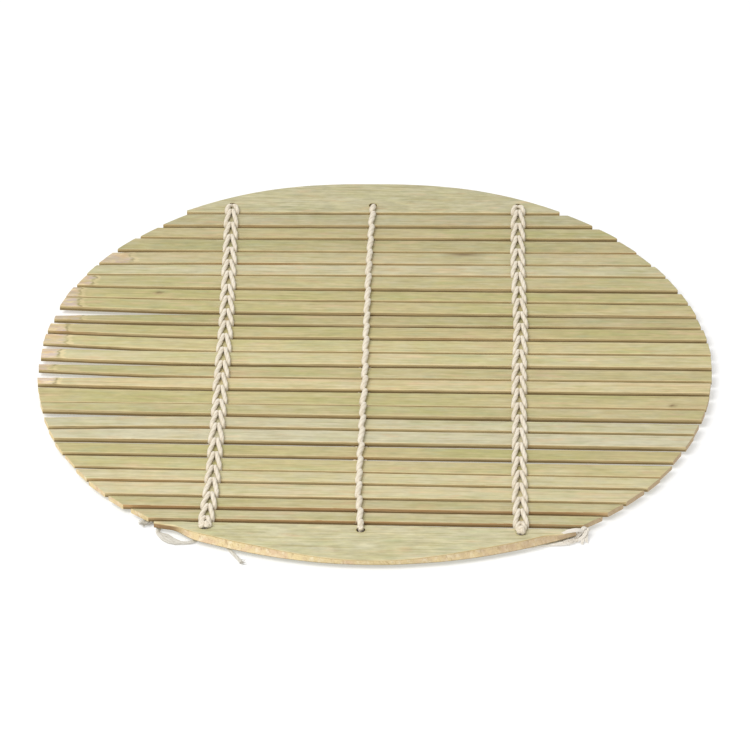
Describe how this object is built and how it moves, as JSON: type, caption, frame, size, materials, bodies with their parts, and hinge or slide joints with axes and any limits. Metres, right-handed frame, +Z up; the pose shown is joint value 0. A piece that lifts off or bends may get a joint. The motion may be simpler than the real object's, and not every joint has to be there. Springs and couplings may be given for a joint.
{
  "type": "bamboo steamer mat",
  "caption": "Round flat mat of split bamboo slats laced side by side with cotton twine, closed by a D-shaped slat at two ends.",
  "frame": {"origin": "centre of the mat on the surface that it rests on", "axes": "+Z up out of the mat's upper side, +X along the slats to the picture's right, +Y across the slats to the picture's rear"},
  "size_m": [0.2187, 0.2178, 0.0064],
  "materials": {
    "bamboo_slat": "dry split bamboo, pale olive straw with grey-green and pinkish streaks along the grain, matt",
    "bamboo_end_slat": "dry split bamboo, pale olive straw with fine straight grain, matt",
    "cotton_twine": "natural off-white twisted cotton, soft and matt",
    "cotton_thread_end": "natural off-white twisted cotton, frayed at its cut ends"
  },
  "bodies": {
    "root": {"end_slat_rear": "bamboo_end_slat", "end_slat_front": "bamboo_end_slat", "slat_01": "bamboo_slat", "slat_02": "bamboo_slat", "slat_03": "bamboo_slat", "slat_04": "bamboo_slat", "slat_05": "bamboo_slat", "slat_06": "bamboo_slat", "slat_07": "bamboo_slat", "slat_08": "bamboo_slat", "slat_09": "bamboo_slat", "slat_10": "bamboo_slat", "slat_11": "bamboo_slat", "slat_12": "bamboo_slat", "slat_13": "bamboo_slat", "slat_14": "bamboo_slat", "slat_15": "bamboo_slat", "slat_16": "bamboo_slat", "slat_17": "bamboo_slat", "slat_18": "bamboo_slat", "slat_19": "bamboo_slat", "slat_20": "bamboo_slat", "slat_21": "bamboo_slat", "slat_22": "bamboo_slat", "slat_23": "bamboo_slat", "slat_24": "bamboo_slat", "lacing_left": "cotton_twine", "lacing_centre": "cotton_twine", "lacing_right": "cotton_twine", "thread_end_left": "cotton_thread_end", "thread_end_right": "cotton_thread_end", "thread_stub_left": "cotton_thread_end"}
  },
  "joints": []
}
